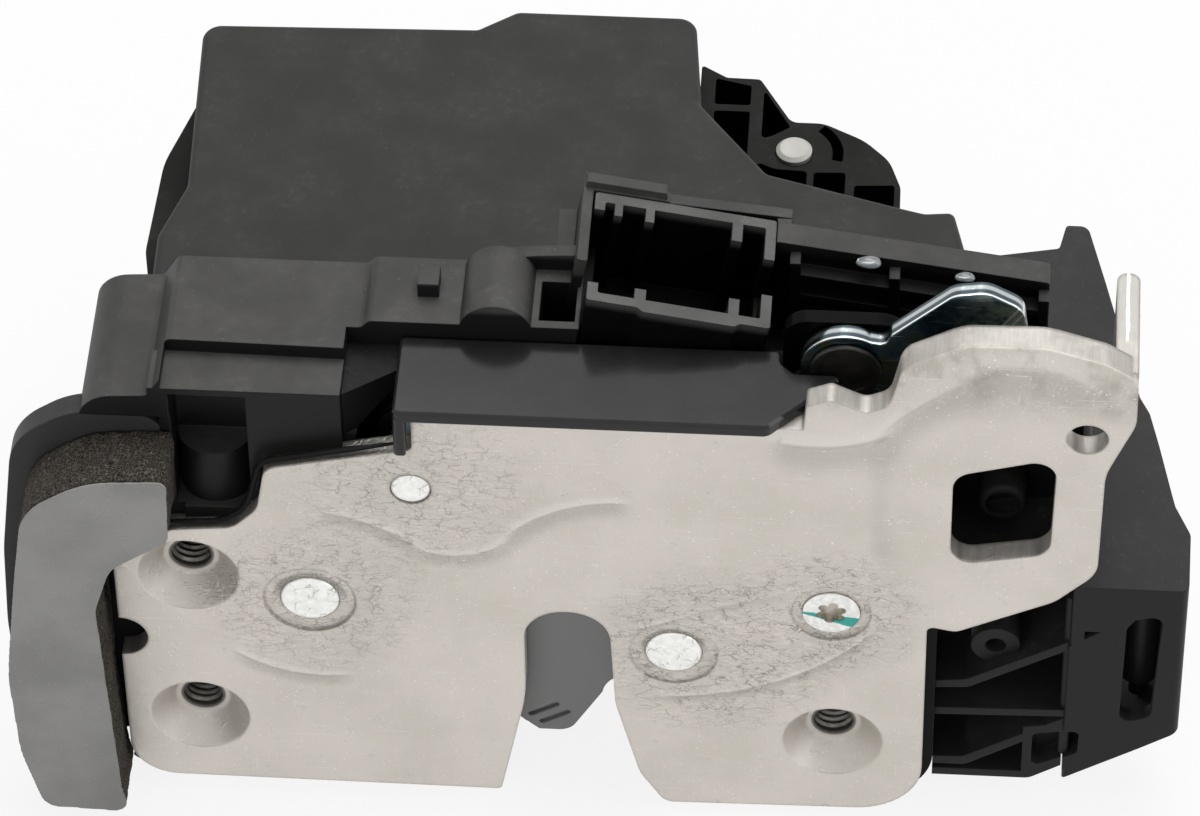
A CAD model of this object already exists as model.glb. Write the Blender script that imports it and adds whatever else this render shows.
"""Looks of the door latch actuator: finishes, thread, foam, film, camera and light."""

import math

import bpy
from mathutils import Matrix, Vector, noise


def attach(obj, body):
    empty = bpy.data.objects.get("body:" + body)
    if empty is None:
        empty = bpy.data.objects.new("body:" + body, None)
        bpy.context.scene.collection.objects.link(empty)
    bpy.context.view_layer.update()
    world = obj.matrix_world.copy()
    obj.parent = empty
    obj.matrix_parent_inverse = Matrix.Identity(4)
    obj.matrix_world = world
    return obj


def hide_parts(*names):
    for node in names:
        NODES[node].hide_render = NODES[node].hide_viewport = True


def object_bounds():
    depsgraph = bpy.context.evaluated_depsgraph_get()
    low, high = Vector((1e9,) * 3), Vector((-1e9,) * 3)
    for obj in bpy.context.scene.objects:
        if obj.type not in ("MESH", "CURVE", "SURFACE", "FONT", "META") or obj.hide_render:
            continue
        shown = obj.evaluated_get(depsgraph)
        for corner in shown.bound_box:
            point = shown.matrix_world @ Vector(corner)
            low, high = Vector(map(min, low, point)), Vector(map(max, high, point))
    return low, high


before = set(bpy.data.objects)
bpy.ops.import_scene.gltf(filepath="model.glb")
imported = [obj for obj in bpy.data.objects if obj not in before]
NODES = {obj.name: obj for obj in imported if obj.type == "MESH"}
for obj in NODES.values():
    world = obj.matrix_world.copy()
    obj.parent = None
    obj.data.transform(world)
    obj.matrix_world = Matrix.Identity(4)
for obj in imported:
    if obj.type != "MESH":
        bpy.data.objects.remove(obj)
CAD_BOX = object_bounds()
MM = 0.001


# --- shader maths ------------------------------------------------------------------------
class Value:
    """A socket whose operators add the Math nodes that an expression needs."""

    def __init__(self, finish, socket):
        self.finish = finish
        self.socket = socket

    def math(self, operation, *others, clamp=False):
        inputs = {0: self}
        for place, other in enumerate(others, 1):
            inputs[place] = other
        settings = {"operation": operation, "use_clamp": clamp}
        return self.finish.node("ShaderNodeMath", settings, inputs)[0]

    def __add__(self, other):
        return self.math("ADD", other)

    def __radd__(self, other):
        return self.math("ADD", other)

    def __sub__(self, other):
        return self.math("SUBTRACT", other)

    def __rsub__(self, other):
        settings = {"operation": "SUBTRACT"}
        return self.finish.node("ShaderNodeMath", settings, {0: other, 1: self})[0]

    def __mul__(self, other):
        return self.math("MULTIPLY", other)

    def __rmul__(self, other):
        return self.math("MULTIPLY", other)

    def __pow__(self, other):
        return self.math("POWER", other)

    def __neg__(self):
        return self.math("MULTIPLY", -1.0)

    def __abs__(self):
        return self.math("ABSOLUTE")

    def clamped(self):
        return self.math("ADD", 0.0, clamp=True)

    def most(self, other):
        return self.math("MAXIMUM", other)

    def fade(self, low, high):
        """0 at low, 1 at high, smooth between; low may be the larger."""
        settings = {"interpolation_type": "SMOOTHSTEP"}
        if low > high:
            return 1 - self.fade(high, low)
        inputs = {"Value": self, "From Min": low, "From Max": high}
        return self.finish.node("ShaderNodeMapRange", settings, inputs)[0]


class Finish:
    """One material: its node tree, a node maker, and the surface's place in millimetres."""

    def __init__(self, name):
        self.material = bpy.data.materials.new(name)
        self.material.use_nodes = True
        self.tree = self.material.node_tree
        self.tree.nodes.clear()
        self.shader = self.tree.nodes.new("ShaderNodeBsdfPrincipled")
        out = self.tree.nodes.new("ShaderNodeOutputMaterial")
        self.tree.links.new(self.shader.outputs[0], out.inputs["Surface"])
        coordinates = self.node("ShaderNodeTexCoord", {}, {})
        self.place = self.vector("SCALE", coordinates[3], scale=1000.0)
        x, y, z = self.node("ShaderNodeSeparateXYZ", {}, {0: self.place})
        self.x, self.y, self.z = x, y, z
        self.rise = self.node("ShaderNodeSeparateXYZ", {}, {0: coordinates[1]})[2]

    def node(self, kind, settings, inputs):
        """Add a node of this type; settings first, then its sockets' values or links."""
        made = self.tree.nodes.new(kind)
        for name, value in settings.items():
            setattr(made, name, value)
        for name, value in inputs.items():
            self.feed(made.inputs[name], value)
        return [Value(self, out) for out in made.outputs if out.enabled]

    def feed(self, socket, value):
        if isinstance(value, Value):
            self.tree.links.new(value.socket, socket)
        elif isinstance(value, tuple) and socket.type == "RGBA" and len(value) == 3:
            socket.default_value = (*value, 1.0)
        else:
            socket.default_value = value

    def vector(self, operation, first, second=None, scale=None):
        inputs = {0: first}
        if second is not None:
            inputs[1] = second
        if scale is not None:
            inputs["Scale"] = scale
        return self.node("ShaderNodeVectorMath", {"operation": operation}, inputs)[0]

    def stretched(self, x, y, z, turn=(0.0, 0.0, 0.0)):
        """The surface's place with its axes scaled, for grain that runs one way."""
        inputs = {"Vector": self.place, "Scale": (x, y, z), "Rotation": turn}
        return self.node("ShaderNodeMapping", {}, inputs)[0]

    def noise(self, size, detail=2.0, rough=0.5, place=None, warp=0.0):
        """Cloudy noise from 0 to 1 with blotches of about this size in millimetres."""
        inputs = {
            "Vector": place or self.place,
            "Scale": 1.0 / size,
            "Detail": detail,
            "Roughness": rough,
            "Distortion": warp,
        }
        return self.node("ShaderNodeTexNoise", {}, inputs)[0]

    def cells(self, size, feature="F1", place=None):
        """Distance inside, or to the edge of, cells of about this size in millimetres."""
        inputs = {"Vector": place or self.place, "Scale": 1.0 / size}
        return self.node("ShaderNodeTexVoronoi", {"feature": feature}, inputs)[0]

    def mix(self, factor, first, second):
        """Colour that goes from first to second as the factor goes from 0 to 1."""
        made = self.tree.nodes.new("ShaderNodeMix")
        made.data_type = "RGBA"
        self.feed(made.inputs[0], factor)
        self.feed(made.inputs[6], first)
        self.feed(made.inputs[7], second)
        return Value(self, made.outputs[2])

    def ramp(self, value, stops):
        """Colour from a value through stops of (position, colour)."""
        made = self.tree.nodes.new("ShaderNodeValToRGB")
        made.color_ramp.interpolation = "EASE"
        ramp = made.color_ramp
        while len(ramp.elements) < len(stops):
            ramp.elements.new(0.5)
        for element, (position, colour) in zip(ramp.elements, stops):
            element.position = position
            element.color = (*colour, 1.0)
        self.feed(made.inputs[0], value)
        return Value(self, made.outputs[0])

    def bump(self, height, depth, strength=1.0, under=None):
        """Normal from a height of 0 to 1 that stands this many millimetres deep."""
        inputs = {"Height": height, "Distance": depth * MM, "Strength": strength}
        if under is not None:
            inputs["Normal"] = under
        return self.node("ShaderNodeBump", {}, inputs)[0]

    def eased_edge(self, radius):
        """Normal that rounds the sharp edges by this many millimetres."""
        return self.node("ShaderNodeBevel", {"samples": 4}, {"Radius": radius * MM})[0]

    def set(self, **sockets):
        for name, value in sockets.items():
            self.feed(self.shader.inputs[name.replace("_", " ")], value)
        return self.material


def plastic(
    name, colour, rough, grain=0.012, edge=0.22, coat=0.0, dust=0.35, pit=0.0,
    shine=0.16, side=0.4, well=None, worn=None,
):
    """Moulded plastic: mould grain, flow marks, haze and dust on what faces up, eased edges."""
    f = Finish(name)
    fine = f.noise(0.16, 2.0)
    broad = f.noise(9.0, 3.0, 0.6)
    upward = f.rise.fade(0.15, 0.75)
    if worn:
        upward = upward.most(worn(f))
    haze = (broad.fade(0.42, 0.72) * f.noise(1.4, 4.0, 0.65).fade(0.45, 0.75)) * dust
    speck = f.noise(0.5, 1.0).fade(0.70, 0.76) * dust
    pale = tuple(min(1.0, 1.7 * c + 0.028) for c in colour)
    deep = tuple(0.72 * c for c in colour)
    body = f.mix(broad.fade(0.3, 0.7), deep, colour)
    body = f.mix((haze + speck).clamped(), body, pale)
    body = f.mix(upward, tuple(side * c for c in colour), body)
    if well:
        body = f.mix(well(f), body, (0.0006, 0.0006, 0.0006))
    height = fine
    if pit:
        height = fine - f.cells(1.3).fade(0.20, 0.05) * f.noise(4.0).fade(0.48, 0.56) * pit
    normal = f.bump(height, grain, 1.0, f.eased_edge(edge))
    f.set(Base_Color=body, Metallic=0.0, Normal=normal)
    f.set(Roughness=(rough + broad * 0.10 - 0.05 + haze * 0.10).clamped())
    if coat:
        f.set(Coat_Weight=coat, Coat_Roughness=0.08)
    f.set(Specular_IOR_Level=shine)
    return f.material


def arc_through(first, middle, last):
    """Centre and radius of the circle through three (x, z) places."""
    (ax, az), (bx, bz), (cx, cz) = first, middle, last
    d = 2 * (ax * (bz - cz) + bx * (cz - az) + cx * (az - bz))
    a, b, c = ax * ax + az * az, bx * bx + bz * bz, cx * cx + cz * cz
    x = (a * (bz - cz) + b * (cz - az) + c * (az - bz)) / d
    z = (a * (cx - bx) + b * (ax - cx) + c * (bx - ax)) / d
    return x, z, math.dist((x, z), first)


def from_centre(f, x, z):
    """Distance of the surface from an axis along Y through x, z, in millimetres."""
    return ((f.x - x) ** 2 + (f.z - z) ** 2) ** 0.5


def coined_arc(f, first, middle, last, width):
    """Pressed line through three places: 1 on the light ridge above it, -1 in the shade below."""
    x, z, radius = arc_through(first, middle, last)
    above = from_centre(f, x, z) - radius
    if z > middle[1]:
        above = -above
    ridge = above.fade(-0.1 * width, 0.25 * width) * above.fade(1.3 * width, 0.3 * width)
    shade = above.fade(0.15 * width, -0.3 * width) * above.fade(-2.2 * width, -0.5 * width)
    low, high = min(first[0], last[0]), max(first[0], last[0])
    span = f.x.fade(low - 1.0, low + 2.5) * f.x.fade(high + 1.0, high - 2.5)
    lean_x, lean_z = (middle[0] - x) / radius, (middle[1] - z) / radius
    this_side = ((f.x - x) * lean_x + (f.z - z) * lean_z).fade(0.0, 0.3 * radius)
    return (ridge - shade) * span * this_side


def collar_shade(f, place, inner, outer):
    """1 in the hollow round the upper half of a rivet head."""
    reach = from_centre(f, *place)
    band = reach.fade(inner - 0.3, inner) * reach.fade(outer, outer - 0.7)
    return band * f.z.fade(place[1] - 0.5, place[1] + 2.2)


CLAW_PIVOT = (13.4, -1.8)
PAWL_PIVOT = (-32.0, 5.5)
RELEASE_PIVOT = (-18.7, 26.75)
TORX_PLACE = (33.0, 7.0)
SHADE = (0.30, 0.285, 0.25)
SCREW_SEATS = ((-47.0, 9.3), (-47.0, -17.5), (33.5, -17.5))


def cracks(f, size, width, place=None):
    """1 on the fine joined lines of crazed plating."""
    inputs = {"Vector": f.place, "Scale": 1.0 / size, "Detail": 3.0}
    drift = f.node("ShaderNodeTexNoise", {}, inputs)[1]
    moved = f.vector("ADD", place or f.place, f.vector("SCALE", drift, scale=1.5 * size))
    return f.cells(size, "DISTANCE_TO_EDGE", place=moved).fade(width, 0.0)


def pressed_steel():
    """Zinc-plated pressing: satin clouds, drawn scratches, crazed plating and pressed lines."""
    f = Finish("satin_pressed_steel")
    cloud = f.noise(16.0, 3.0, 0.55)
    patch = f.noise(3.2, 5.0, 0.7, warp=0.4)
    fine = f.noise(0.42, 3.0, 0.7)
    spangle = f.cells(0.75)
    hair_a = f.noise(1.0, 2.0, 0.5, f.stretched(0.16, 1.0, 3.6, (0, 0.16, 0)))
    hair_b = f.noise(1.0, 2.0, 0.5, f.stretched(3.0, 1.0, 0.16, (0, 0.45, 0)))
    scratch = (hair_a.fade(0.68, 0.75) + hair_b.fade(0.70, 0.77)).clamped()
    gouge_way = f.stretched(0.07, 1.0, 5.2, (0, -0.62, 0))
    deep_scratch = f.noise(1.0, 1.0, 0.4, gouge_way).fade(0.71, 0.75)
    near_claw = from_centre(f, CLAW_PIVOT[0] + 5.0, CLAW_PIVOT[1] + 1.0).fade(19.0, 8.0)
    near_pawl = from_centre(f, *PAWL_PIVOT).fade(17.0, 7.0)
    near_torx = from_centre(f, *TORX_PLACE).fade(14.0, 6.0)
    near_release = from_centre(f, *RELEASE_PIVOT).fade(20.0, 6.0)
    worked = (near_claw + near_pawl * 0.8 + near_torx + near_release * 0.8).clamped()
    worked = (worked + patch.fade(0.52, 0.66) * 0.35).clamped() * (1 - f.z.fade(38.0, 42.0))
    long_way = f.stretched(0.6, 1.0, 1.3, (0, 0.35, 0))
    crack = cracks(f, 1.9, 0.050, long_way) * f.noise(2.8, 2.0).fade(0.45, 0.53)
    crack = crack.most(cracks(f, 1.1, 0.045) * f.noise(1.9, 2.0).fade(0.50, 0.58)) * worked
    leather = abs(f.noise(1.7, 3.0, 0.6, long_way, warp=1.2) - 0.5).fade(0.0, 0.22) * worked
    pressed = coined_arc(f, (-30.4, 22.0), (-23.7, 19.9), (-17.5, 15.6), 1.3)
    pressed = pressed + coined_arc(f, (-18.5, 15.9), (-12.9, 14.9), (-6.9, 18.0), 1.3)
    pressed = pressed + coined_arc(f, (-7.9, 17.6), (-1.2, 23.6), (8.2, 25.6), 1.5)
    pressed = pressed + coined_arc(f, (-42.1, -4.7), (-35.8, -8.1), (-27.3, -8.5), 1.1)
    pressed = pressed + coined_arc(f, (10.6, -10.1), (22.5, -8.0), (38.6, 4.2), 0.8)
    pressed = pressed + coined_arc(f, (8.6, 2.0), (17.9, 6.7), (28.2, 10.8), 0.8) * 0.5
    fold = coined_arc(f, (25.0, 37.9), (33.0, 37.3), (40.5, 40.2), 2.6)
    fold = fold + coined_arc(f, (37.5, 37.8), (43.7, 45.5), (52.5, 49.8), 2.4)
    fold = fold + coined_arc(f, (49.0, 49.4), (56.0, 50.4), (64.0, 48.2), 2.4)
    line = abs(from_centre(f, *PAWL_PIVOT) - 5.7).fade(0.35, 0.05) * patch.fade(0.40, 0.55)
    hollow = collar_shade(f, PAWL_PIVOT, 3.5, 5.0).most(collar_shade(f, CLAW_PIVOT, 3.3, 4.6))
    hollow = hollow.most(collar_shade(f, RELEASE_PIVOT, 2.4, 3.2)) * fine.fade(0.2, 0.55)
    swell = near_pawl * 0.4 + near_claw * 0.4 + near_torx * 0.35
    height = cloud * 0.22 + patch * 0.10 + fine * 0.012 - scratch * 0.010 - deep_scratch * 0.02
    height = height + pressed * 0.22 + fold * 0.35 - crack * 0.09 + leather * 0.30 + swell * 0.22
    tone = f.mix(cloud.fade(0.3, 0.7), (0.605, 0.568, 0.51), (0.672, 0.628, 0.582))
    tone = f.mix(patch.fade(0.45, 0.72) * 0.45, tone, (0.72, 0.69, 0.65))
    tone = f.mix((pressed.clamped() * 0.32 + fold.clamped() * 0.22), tone, (0.86, 0.84, 0.80))
    tone = f.mix(((-pressed).clamped() * 0.36 + (-fold).clamped() * 0.36), tone, SHADE)
    tone = f.mix(leather.fade(0.45, 0.0) * worked * 0.16, tone, SHADE)
    stain = f.noise(4.0, 3.0, 0.6).fade(0.46, 0.66) * f.z.fade(42.5, 46.5)
    tone = f.mix(stain * 0.42 + f.z.fade(40.0, 48.0) * 0.26, tone, (0.37, 0.345, 0.30))
    tone = f.mix(hollow * 0.72, tone, (0.14, 0.14, 0.115))
    tone = f.mix((scratch * 0.35 + deep_scratch * 0.35).clamped(), tone, (0.86, 0.84, 0.81))
    tone = f.mix((crack * 0.70).most(line * 0.5), tone, (0.24, 0.225, 0.195))
    glint = spangle.fade(0.24, 0.06) * fine.fade(0.44, 0.56) * f.noise(2.4).fade(0.40, 0.58)
    tone = f.mix(glint * 0.75, tone, (0.93, 0.91, 0.88))
    tone = f.mix(f.noise(0.35, 1.0).fade(0.60, 0.74) * 0.22, tone, (0.88, 0.86, 0.83))
    rim = f.rise.fade(0.62, 0.86)
    for seat in SCREW_SEATS:
        reach = from_centre(f, *seat)
        inside = reach.fade(6.7, 6.1) * f.y.fade(0.02, 0.2)
        tone = f.mix(inside * 0.30, tone, (0.38, 0.36, 0.335))
        tone = f.mix(reach.fade(3.0, 2.7) * 0.85, tone, (0.07, 0.065, 0.06))
        rim = rim * (1 - inside)
    drag = f.noise(1.0, 2.0, 0.5, f.stretched(2.6, 0.3, 0.3))
    tone = f.mix(rim * (0.35 + drag * 0.55), tone, (0.26, 0.25, 0.235))
    tab = f.y.fade(7.4, 8.4)
    tone = f.mix(tab * 0.75, tone, (0.34, 0.33, 0.31))
    tone = f.mix(tab * abs(f.x - 67.3 - drag * 0.5).fade(0.25, 0.08), tone, (0.95, 0.94, 0.91))
    rough = 0.40 + patch * 0.14 - scratch * 0.08 + fine * 0.05
    normal = f.bump(height, 0.55, 0.9, f.eased_edge(0.6))
    f.set(Base_Color=tone, Metallic=0.82, Roughness=rough.clamped(), Normal=normal)
    return f.material


def bright_rivet():
    """Upset rivet heads: silver, dished by the forming tool, scuffed."""
    f = Finish("upset_rivet_steel")
    dent = f.noise(1.1, 3.0, 0.6)
    mark = cracks(f, 1.9, 0.04) * f.noise(1.8).fade(0.45, 0.6)
    scuff = f.noise(1.0, 2.0, 0.5, f.stretched(0.3, 1.0, 4.0, (0, 0.5, 0))).fade(0.62, 0.75)
    tone = f.mix(dent.fade(0.35, 0.7), (0.84, 0.84, 0.81), (0.96, 0.96, 0.94))
    tone = f.mix(mark * 0.7, tone, (0.25, 0.25, 0.24))
    normal = f.bump(dent - mark * 0.35 - scuff * 0.1, 0.08, 1.0, f.eased_edge(0.3))
    rough = 0.26 + dent * 0.18 + scuff * 0.1
    f.set(Base_Color=tone, Metallic=0.9, Roughness=rough, Normal=normal)
    return f.material


def screw_steel():
    """Plated screw with a stroke of teal paint across the lower half of its head."""
    f = Finish("plated_screw_steel")
    dent = f.noise(0.8, 3.0, 0.6)
    across = f.x - TORX_PLACE[0]
    lean = f.z - TORX_PLACE[1] + 0.75 + across * 0.25 + f.noise(1.4) * 0.4
    half = 0.65 + across * 0.12
    face = f.y.fade(0.45, 0.30)
    stroke = (half - abs(lean)).fade(-0.05, 0.10) * face
    tone = f.mix(dent.fade(0.35, 0.7), (0.74, 0.74, 0.71), (0.93, 0.93, 0.91))
    tone = f.mix(face, (0.52, 0.48, 0.42), tone)
    tone = f.mix(stroke, tone, (0.02, 0.36, 0.30))
    normal = f.bump(dent + stroke * 0.4, 0.05, 1.0, f.eased_edge(0.2))
    metal = 0.9 - stroke * 0.85
    f.set(Base_Color=tone, Metallic=metal, Roughness=0.28 + dent * 0.15, Normal=normal)
    return f.material


def plain_steel(name, dark, pale, rough, grain=0.03):
    """Drawn or ground steel of an inner piece."""
    f = Finish(name)
    cloud = f.noise(4.0, 4.0, 0.6)
    drawn = f.noise(1.0, 3.0, 0.6, f.stretched(0.25, 3.0, 1.0, (0.3, 0.5, 0)))
    tone = f.mix(cloud.fade(0.3, 0.7), dark, pale)
    tone = f.mix(drawn.fade(0.6, 0.78) * 0.35, tone, tuple(1.3 * c for c in pale))
    normal = f.bump(drawn + cloud * 0.4, grain, 0.8, f.eased_edge(0.2))
    f.set(Roughness=(rough + cloud * 0.15).clamped())
    f.set(Base_Color=tone, Metallic=0.9, Normal=normal)
    return f.material


def passivated_zinc():
    """Passivated plating of the levers: deep blue and olive clouds, pale sheared edges."""
    f = Finish("passivated_zinc")
    drift = f.noise(9.0, 3.0, 0.55, warp=0.8)
    fine = f.noise(2.2, 4.0, 0.6)
    stops = (
        (0.30, (0.025, 0.045, 0.075)),
        (0.44, (0.050, 0.095, 0.135)),
        (0.52, (0.110, 0.180, 0.200)),
        (0.60, (0.150, 0.170, 0.100)),
        (0.70, (0.050, 0.085, 0.120)),
    )
    tone = f.ramp(drift * 0.7 + fine * 0.3, stops)
    wipe = f.noise(1.0, 2.0, 0.5, f.stretched(0.2, 1.0, 3.0, (0, 0.9, 0))).fade(0.58, 0.72)
    speck = f.cells(0.6).fade(0.22, 0.08) * fine.fade(0.45, 0.6)
    tone = f.mix((speck * 0.5 + wipe * 0.3).clamped(), tone, (0.60, 0.70, 0.72))
    fold = f.x * 0.837 - f.z * 0.548 - 16.24
    tip = f.z.fade(44.5, 47.0) * f.x.fade(46.0, 48.0)
    tone = f.mix(fold.fade(-0.2, 0.4) * tip * 0.6, tone, (0.40, 0.45, 0.45))
    glow = fold.fade(-8.0, -0.6) * fine.fade(0.35, 0.62)
    tone = f.mix(glow * tip * 0.7, tone, (0.52, 0.62, 0.50))
    line = abs(fold).fade(0.22, 0.08).most(abs(fold - 0.9).fade(0.2, 0.08))
    tone = f.mix(line * tip * 0.9, tone, (0.92, 0.95, 0.92))
    sheared = f.rise.fade(0.3, 0.62)
    tone = f.mix(sheared, tone, (0.075, 0.10, 0.115))
    corner = abs(f.y - 8.92).fade(0.26, 0.08).most(abs(f.y - 10.1).fade(0.5, 0.15) * 0.55)
    tone = f.mix(sheared * corner, tone, (0.90, 0.95, 0.95))
    normal = f.bump(fine * 0.5 + drift * 0.6 - wipe * 0.1, 0.10, 0.8, f.eased_edge(0.35))
    rough = 0.14 + fine * 0.12 + wipe * 0.08
    f.set(Base_Color=tone, Metallic=0.95, Roughness=rough, Normal=normal)
    return f.material


def open_foam():
    """Open-cell foam: dark brown-black walls round deep pores of several sizes."""
    f = Finish("open_cell_foam")
    pore = f.cells(0.42, "DISTANCE_TO_EDGE")
    large = f.cells(0.95).fade(0.34, 0.14) * f.noise(1.5).fade(0.42, 0.55)
    cell = pore.fade(0.0, 0.22)
    tone = f.mix(cell, (0.105, 0.090, 0.075), (0.020, 0.017, 0.014))
    tone = f.mix(large * 0.8, tone, (0.006, 0.005, 0.004))
    tone = f.mix(f.noise(6.0, 3.0).fade(0.5, 0.8) * 0.35, tone, (0.14, 0.125, 0.11))
    tone = f.mix(f.noise(0.3, 1.0).fade(0.62, 0.72) * 0.5, tone, (0.24, 0.225, 0.20))
    normal = f.bump(0.0 - cell * 0.5 - large * 0.7, 0.35, 1.0)
    f.set(Base_Color=tone, Metallic=0.0, Roughness=0.92, Normal=normal)
    f.set(Specular_IOR_Level=0.2)
    return f.material


def foam_film():
    """Film on the foam's face: grey with pale and dark specks and a faint leathery relief."""
    f = Finish("speckled_film")
    pale = f.cells(0.62).fade(0.20, 0.08) * f.noise(2.0).fade(0.42, 0.58)
    dark = f.cells(0.45, place=f.stretched(1.0, 1.0, 1.0, (0.4, 0.2, 0.9))).fade(0.18, 0.06)
    broad = f.noise(12.0, 3.0)
    leather = f.noise(0.7, 3.0, 0.6)
    tone = f.mix(broad.fade(0.3, 0.7), (0.200, 0.198, 0.193), (0.262, 0.259, 0.252))
    tone = f.mix(dark * 0.6, tone, (0.075, 0.075, 0.073))
    tone = f.mix(pale * 0.45, tone, (0.42, 0.42, 0.41))
    normal = f.bump(leather + pale * 0.3, 0.08, 1.0)
    f.set(Base_Color=tone, Metallic=0.0, Roughness=0.62 + leather * 0.1, Normal=normal)
    return f.material


def clear_resin():
    """Clear set resin with a faint ripple."""
    f = Finish("clear_resin")
    ripple = f.noise(0.8, 2.0)
    f.set(Base_Color=(0.80, 0.84, 0.86), Roughness=0.06, Metallic=0.0, IOR=1.49)
    f.set(Transmission_Weight=0.85, Normal=f.bump(ripple, 0.05, 0.5))
    return f.material


def socket_well(f):
    """0 on the tilted rim of the connector socket, 1 down inside it and on its outer walls."""
    below = (f.x - 2.3) * 0.1736 + (f.z - 48.9) * 0.9848
    return below.fade(-0.2, -1.6)


def lever_pocket(f):
    """1 in the greased hollow round the outside lever's pivot."""
    return from_centre(f, 33.9, 42.0).fade(14.5, 11.0) * f.y.fade(3.4, 4.4) * 0.97


def shroud(f):
    """1 on the wall that shrouds the connector socket, greyed by handling."""
    return f.z.fade(45.8, 46.8) * f.x.fade(24.0, 22.0) * 0.8


def ribbed_bay(f):
    """1 below the sloping top of the ribbed bay beside the connector."""
    below = f.z - 45.4 + (f.x - 24.4) * 0.162
    return below.fade(-0.7, -2.0) * f.x.fade(21.5, 23.5) * 0.93


FINISHES = {
    "plate": pressed_steel(),
    "rivet": bright_rivet(),
    "screw": screw_steel(),
    "claw": plain_steel("ground_claw_steel", (0.22, 0.21, 0.20), (0.42, 0.41, 0.39), 0.30),
    "spring": plain_steel("spring_wire", (0.25, 0.24, 0.22), (0.45, 0.44, 0.42), 0.28, 0.015),
    "back": plain_steel("plated_back_steel", (0.24, 0.23, 0.22), (0.36, 0.35, 0.33), 0.38),
    "motor": plain_steel("nickel_can", (0.42, 0.41, 0.38), (0.60, 0.59, 0.56), 0.22, 0.01),
    "terminal": plain_steel(
        "tinned_terminal", (0.55, 0.50, 0.38), (0.78, 0.72, 0.58), 0.26, 0.01
    ),
    "copper": plain_steel("copper_strip", (0.50, 0.24, 0.12), (0.72, 0.40, 0.24), 0.30, 0.01),
    "zinc": passivated_zinc(),
    "black": plastic("black_moulding", (0.026, 0.026, 0.026), 0.42, grain=0.014),
    "tray": plastic("dark_tray", (0.018, 0.018, 0.018), 0.30, shine=0.05, well=lever_pocket),
    "carrier": plastic(
        "grey_carrier", (0.046, 0.046, 0.047), 0.50, grain=0.02, edge=0.3, side=0.8
    ),
    "base": plastic("dark_base", (0.019, 0.019, 0.018), 0.42, grain=0.018, shine=0.05, side=0.12),
    "housing": plastic(
        "black_housing", (0.064, 0.063, 0.061), 0.46, grain=0.018, edge=0.3, side=0.115,
        well=ribbed_bay, worn=shroud,
    ),
    "gloss": plastic(
        "glossy_cap", (0.016, 0.016, 0.017), 0.24, grain=0.004, edge=0.3, coat=0.35, dust=0.15
    ),
    "socket": plastic(
        "socket_moulding", (0.12, 0.12, 0.117), 0.45, grain=0.01, edge=0.15, shine=0.12,
        well=socket_well,
    ),
    "oiled": plain_steel("oiled_steel", (0.03, 0.03, 0.03), (0.07, 0.066, 0.06), 0.34, 0.015),
    "cover": plastic("pitted_cover", (0.034, 0.034, 0.032), 0.50, grain=0.02, edge=0.6, pit=0.8),
    "sleeve": plastic(
        "smooth_sleeve", (0.15, 0.15, 0.15), 0.36, grain=0.006, edge=0.3, dust=0.2,
        shine=0.42, side=1.0,
    ),
    "acetal": plastic("white_acetal", (0.62, 0.61, 0.57), 0.32, grain=0.006, edge=0.2, dust=0.2),
    "slider": plastic("grey_acetal", (0.09, 0.09, 0.10), 0.38, grain=0.008),
    "switch": plastic("red_switch_case", (0.16, 0.03, 0.025), 0.40, grain=0.01),
    "rubber": plastic("soft_rubber", (0.022, 0.022, 0.022), 0.70, grain=0.02, dust=0.2),
    "bore": plain_steel("bored_steel", (0.06, 0.056, 0.05), (0.26, 0.25, 0.23), 0.32, 0.02),
    "foam": open_foam(),
    "film": foam_film(),
    "resin": clear_resin(),
}
DRESS = {
    "plate": "face_plate",
    "rivet": "claw_rivet pawl_rivet release_rivet",
    "screw": "torx_screw",
    "claw": "claw pawl",
    "spring": "claw_spring pawl_spring wheel_axle",
    "oiled": "outside_lever_pin",
    "back": "back_plate",
    "motor": "motor",
    "terminal": "connector_pins",
    "copper": "lead_frame",
    "zinc": "release_lever outside_lever inside_lever",
    "black": "slider_rail side_housing side_frame slot_roller",
    "tray": "latch_tray lock_rotor",
    "carrier": "seal_carrier",
    "housing": "upper_housing",
    "base": "actuator_base",
    "gloss": "top_cap",
    "socket": "connector_socket",
    "cover": "actuator_cover",
    "sleeve": "claw_sleeve",
    "acetal": "inside_lever_pin worm drive_wheel",
    "slider": "lock_slider",
    "switch": "position_switch claw_switch",
    "rubber": "striker_bumper",
    "foam": "foam_seal",
    "film": "seal_skin",
}
for finish, names in DRESS.items():
    for name in names.split():
        if name in NODES:
            NODES[name].data.materials.clear()
            NODES[name].data.materials.append(FINISHES[finish])


# --- pieces ------------------------------------------------------------------------------
def piece(name, points, faces, finish, body="frame", smooth=True):
    """New mesh piece from points in millimetres, riding on a body."""
    mesh = bpy.data.meshes.new(name)
    mesh.from_pydata([Vector(p) * MM for p in points], [], faces)
    mesh.validate()
    mesh.polygons.foreach_set("use_smooth", [smooth] * len(mesh.polygons))
    mesh.materials.append(FINISHES[finish])
    made = bpy.data.objects.new(name, mesh)
    bpy.context.scene.collection.objects.link(made)
    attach(made, body)
    return made


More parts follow.
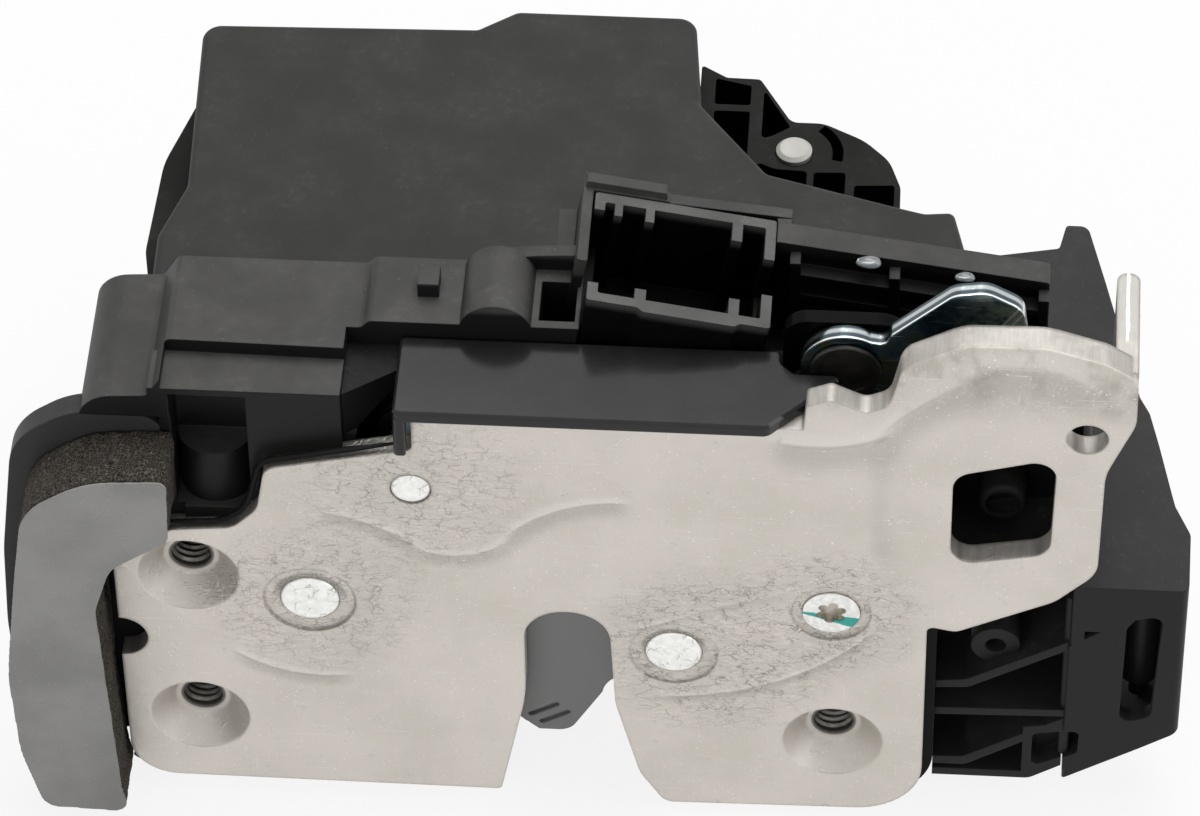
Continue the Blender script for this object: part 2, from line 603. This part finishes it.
def thread(place, y_first, y_last, pitch=1.0, wall=2.54, crest=2.12, steps=28):
    """Helical thread ridge inside a bore whose axis runs along Y."""
    points, faces = [], []
    turns = (y_last - y_first) / pitch
    count = int(turns * steps)
    for step in range(count + 1):
        turn = 2 * math.pi * step / steps
        depth = y_first + pitch * step / steps
        fade = min(1.0, step / 10.0, (count - step) / 10.0)
        tip = wall - (wall - crest) * fade
        for radius, shift in ((wall, -0.44), (tip, -0.07), (tip, 0.07), (wall, 0.44)):
            x = place[0] + radius * math.cos(turn)
            z = place[1] + radius * math.sin(turn)
            points.append((x, depth + shift, z))
    for step in range(count):
        a = 4 * step
        for side in range(4):
            b = a + side
            c = a + (side + 1) % 4
            faces.append((b, b + 4, c + 4, c))
    faces.append((3, 2, 1, 0))
    faces.append(tuple(4 * count + k for k in range(4)))
    return points, faces


for number, seat in enumerate(SCREW_SEATS, 1):
    made = piece(f"seat_thread_{number}", *thread(seat, 4.1, 8.6), "bore", smooth=False)


def drop(name, place, radius, height):
    """Clear resin drop: a low dome."""
    points, faces = [], []
    rings, sides = 7, 20
    for ring in range(rings):
        lift = math.pi / 2 * ring / rings
        for side in range(sides):
            turn = 2 * math.pi * side / sides
            spread = radius * math.cos(lift) * (1 + 0.06 * math.sin(3 * turn + place[0]))
            x = place[0] + 1.25 * spread * math.cos(turn)
            y = place[1] + 0.75 * spread * math.sin(turn)
            points.append((x, y, place[2] + height * math.sin(lift)))
    top = len(points)
    points.append((place[0], place[1], place[2] + height))
    for ring in range(rings - 1):
        for side in range(sides):
            a, b = ring * sides + side, ring * sides + (side + 1) % sides
            faces.append((a, b, b + sides, a + sides))
    last = (rings - 1) * sides
    faces += [(last + side, last + (side + 1) % sides, top) for side in range(sides)]
    faces.append(tuple(reversed(range(sides))))
    made = piece(name, points, faces, "resin")
    return made


def strip_top(x):
    return 45.4 - 0.162 * (x - 24.4)


drop("resin_drop_1", (36.1, 25.6, strip_top(36.1) - 0.25), 1.25, 0.9)
drop("resin_drop_2", (47.9, 25.6, strip_top(47.9) - 0.25), 1.0, 0.7)


def bar(name, ends, sides, finish):
    """Straight moulded lip with eased corners, standing on the X and Y sides between Z ends."""
    (x0, x1), (y0, y1) = sides
    ease = 0.25
    ring = [
        (x0 + ease, y0), (x1 - ease, y0), (x1, y0 + ease), (x1, y1 - ease),
        (x1 - ease, y1), (x0 + ease, y1), (x0, y1 - ease), (x0, y0 + ease),
    ]
    points = [(x, y, z) for z in ends for x, y in ring]
    count = len(ring)
    faces = [(k, (k + 1) % count, count + (k + 1) % count, count + k) for k in range(count)]
    faces += [tuple(reversed(range(count))), tuple(range(count, 2 * count))]
    made = piece(name, points, faces, finish, smooth=False)
    return made


bar("side_joint_lip", (-24.6, 5.4), ((62.1, 63.5), (5.6, 7.6)), "black")


def bead(name, path, depth, radius, finish):
    """Round moulded bead through x, z places at this depth, tapered at both ends."""
    sides = 10
    places = [Vector((x, depth, z)) for x, z in path]
    points, faces = [], []
    for index, place in enumerate(places):
        before, after = places[max(index - 1, 0)], places[min(index + 1, len(places) - 1)]
        along = (after - before).normalized()
        out = Vector((0.0, 1.0, 0.0)).cross(along)
        spread = radius * (0.35 if index in (0, len(places) - 1) else 1.0)
        for side in range(sides):
            turn = 2 * math.pi * side / sides
            shift = out * math.cos(turn) + Vector((0.0, 1.0, 0.0)) * math.sin(turn)
            points.append(tuple(place + shift * spread))
    for step in range(len(places) - 1):
        for side in range(sides):
            a, b = step * sides + side, step * sides + (side + 1) % sides
            faces.append((a, b, b + sides, a + sides))
    last = (len(places) - 1) * sides
    faces += [tuple(reversed(range(sides))), tuple(range(last, last + sides))]
    made = piece(name, points, faces, finish)
    return made


BEAD_PATH = (
    (-50.0, 18.5), (-46.0, 18.6), (-43.4, 18.8), (-41.6, 19.5), (-40.1, 20.8), (-39.0, 22.6),
    (-38.4, 24.8), (-37.9, 27.0), (-37.5, 28.9), (-36.8, 29.9), (-35.4, 30.5), (-32.0, 31.4),
    (-26.0, 32.9), (-19.2, 34.6),
)
bead("plate_edge_bead", BEAD_PATH, 0.7, 0.40, "tray")


INWARD = 0.6


def reshaped(node, name, voxel, finish, rounds):
    """Evenly meshed copy of a CAD node, smoothed, for a soft piece that stands for it."""
    rough = bpy.data.objects.new(name + "_rough", NODES[node].data.copy())
    bpy.context.scene.collection.objects.link(rough)
    remesh = rough.modifiers.new("even", "REMESH")
    remesh.mode = "VOXEL"
    remesh.voxel_size = voxel * MM
    remesh.use_smooth_shade = True
    even = rough.modifiers.new("smooth", "SMOOTH")
    even.factor = 0.5
    even.iterations = rounds
    graph = bpy.context.evaluated_depsgraph_get()
    mesh = bpy.data.meshes.new_from_object(rough.evaluated_get(graph))
    bpy.data.objects.remove(rough)
    mesh.name = name
    mesh.materials.clear()
    mesh.materials.append(FINISHES[finish])
    made = bpy.data.objects.new(name, mesh)
    bpy.context.scene.collection.objects.link(made)
    return made


def roughen(made, depth, size):
    """Push the surface in and out along its normals by smooth noise, mostly inward."""
    mesh = made.data
    normals = [v.normal.copy() for v in mesh.vertices]
    for vertex, normal in zip(mesh.vertices, normals):
        place = vertex.co / (size * MM)
        swing = noise.noise(place) + 0.5 * noise.noise(place * 2.3)
        vertex.co += normal * (depth * MM * (swing - INWARD))
    mesh.update()


foam = reshaped("foam_seal", "sealing_foam", 0.42, "foam", 3)
roughen(foam, 0.16, 0.9)
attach(foam, "frame")
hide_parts("foam_seal")

film = reshaped("seal_skin", "foam_film", 0.16, "film", 6)
roughen(film, 0.04, 5.0)
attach(film, "frame")
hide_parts("seal_skin")


# --- camera, light and floor -------------------------------------------------------------
camera_data = bpy.data.cameras.new("camera")
camera_data.lens = 195.0
camera_data.sensor_width = 36.0
camera_data.clip_start = 0.05
camera = bpy.data.objects.new("camera", camera_data)
bpy.context.scene.collection.objects.link(camera)
RIGHT = Vector((0.99777, 0.06572, -0.01190))
UP = Vector((-0.03997, 0.73036, 0.68189))
FORWARD = Vector((-0.05351, 0.67990, -0.73135))
turn = Matrix((RIGHT, UP, -FORWARD)).transposed().to_4x4()
CAMERA_PLACE = Vector((0.046495, -0.530960, 0.613950))
camera.matrix_world = Matrix.Translation(CAMERA_PLACE) @ turn
bpy.context.scene.camera = camera


def lamp(name, place, aim, width, height, power):
    """Soft rectangular lamp at a place, aimed at a place, both in metres."""
    light = bpy.data.lights.new(name, "AREA")
    light.shape = "RECTANGLE"
    light.size = width
    light.size_y = height
    light.energy = power
    made = bpy.data.objects.new(name, light)
    made.location = place
    made.rotation_euler = (Vector(aim) - Vector(place)).to_track_quat("-Z", "Y").to_euler()
    bpy.context.scene.collection.objects.link(made)
    return made


front_lamp = lamp("front_window", (-0.25, -0.75, 0.30), (0.0, 0.0, 0.0), 0.7, 0.5, 2.2)
front_lamp.visible_glossy = False
lamp("top_window", (0.10, 0.25, 0.85), (0.0, 0.03, 0.02), 0.8, 0.6, 6.5)
lamp("right_window", (0.85, -0.10, 0.35), (0.0, 0.02, 0.0), 0.5, 0.5, 2.0)

SOFT_LIGHT = 0.30
world = bpy.data.worlds.new("studio")
bpy.context.scene.world = world
world.use_nodes = True
tree = world.node_tree
tree.nodes.clear()
path = tree.nodes.new("ShaderNodeLightPath")
seen = tree.nodes.new("ShaderNodeMath")
seen.operation = "MAXIMUM"
tree.links.new(path.outputs["Is Camera Ray"], seen.inputs[0])
tree.links.new(path.outputs["Is Transmission Ray"], seen.inputs[1])
mirrored = tree.nodes.new("ShaderNodeMath")
mirrored.operation = "MAXIMUM"
tree.links.new(seen.outputs[0], mirrored.inputs[0])
tree.links.new(path.outputs["Is Glossy Ray"], mirrored.inputs[1])
soft = tree.nodes.new("ShaderNodeBackground")
soft.inputs[0].default_value = (1.0, 1.0, 1.0, 1.0)
soft.inputs[1].default_value = SOFT_LIGHT
white = tree.nodes.new("ShaderNodeBackground")
white.inputs[0].default_value = (1.0, 1.0, 1.0, 1.0)
white.inputs[1].default_value = 1.0
blend = tree.nodes.new("ShaderNodeMixShader")
out = tree.nodes.new("ShaderNodeOutputWorld")
tree.links.new(mirrored.outputs[0], blend.inputs[0])
tree.links.new(soft.outputs[0], blend.inputs[1])
tree.links.new(white.outputs[0], blend.inputs[2])
tree.links.new(blend.outputs[0], out.inputs["Surface"])

FLOOR_GAP = 0.0005
FLOOR_GLOW = 0.86
FLOOR_Z = CAD_BOX[0][2] - FLOOR_GAP
floor_mesh = bpy.data.meshes.new("floor")
span = 3.0
corners = [
    (-span, -span, FLOOR_Z), (span, -span, FLOOR_Z), (span, span, FLOOR_Z), (-span, span, FLOOR_Z)
]
floor_mesh.from_pydata(corners, [], [(0, 1, 2, 3)])
floor = bpy.data.objects.new("floor", floor_mesh)
bpy.context.scene.collection.objects.link(floor)
paper = bpy.data.materials.new("white_paper")
paper.use_nodes = True
tree = paper.node_tree
tree.nodes.clear()
path = tree.nodes.new("ShaderNodeLightPath")
matt = tree.nodes.new("ShaderNodeBsdfDiffuse")
matt.inputs[0].default_value = (0.86, 0.86, 0.86, 1.0)
glow = tree.nodes.new("ShaderNodeEmission")
glow.inputs[1].default_value = 1.0
lit = tree.nodes.new("ShaderNodeMath")
lit.operation = "MULTIPLY"
lit.inputs[1].default_value = FLOOR_GLOW
mixed = tree.nodes.new("ShaderNodeMixShader")
out = tree.nodes.new("ShaderNodeOutputMaterial")
seen = tree.nodes.new("ShaderNodeMath")
seen.operation = "MAXIMUM"
tree.links.new(path.outputs["Is Camera Ray"], seen.inputs[0])
tree.links.new(path.outputs["Is Glossy Ray"], seen.inputs[1])
tree.links.new(seen.outputs[0], lit.inputs[0])
tree.links.new(lit.outputs[0], mixed.inputs[0])
tree.links.new(matt.outputs[0], mixed.inputs[1])
tree.links.new(glow.outputs[0], mixed.inputs[2])
tree.links.new(mixed.outputs[0], out.inputs["Surface"])
floor_mesh.materials.append(paper)

bpy.context.scene.view_settings.view_transform = "Standard"
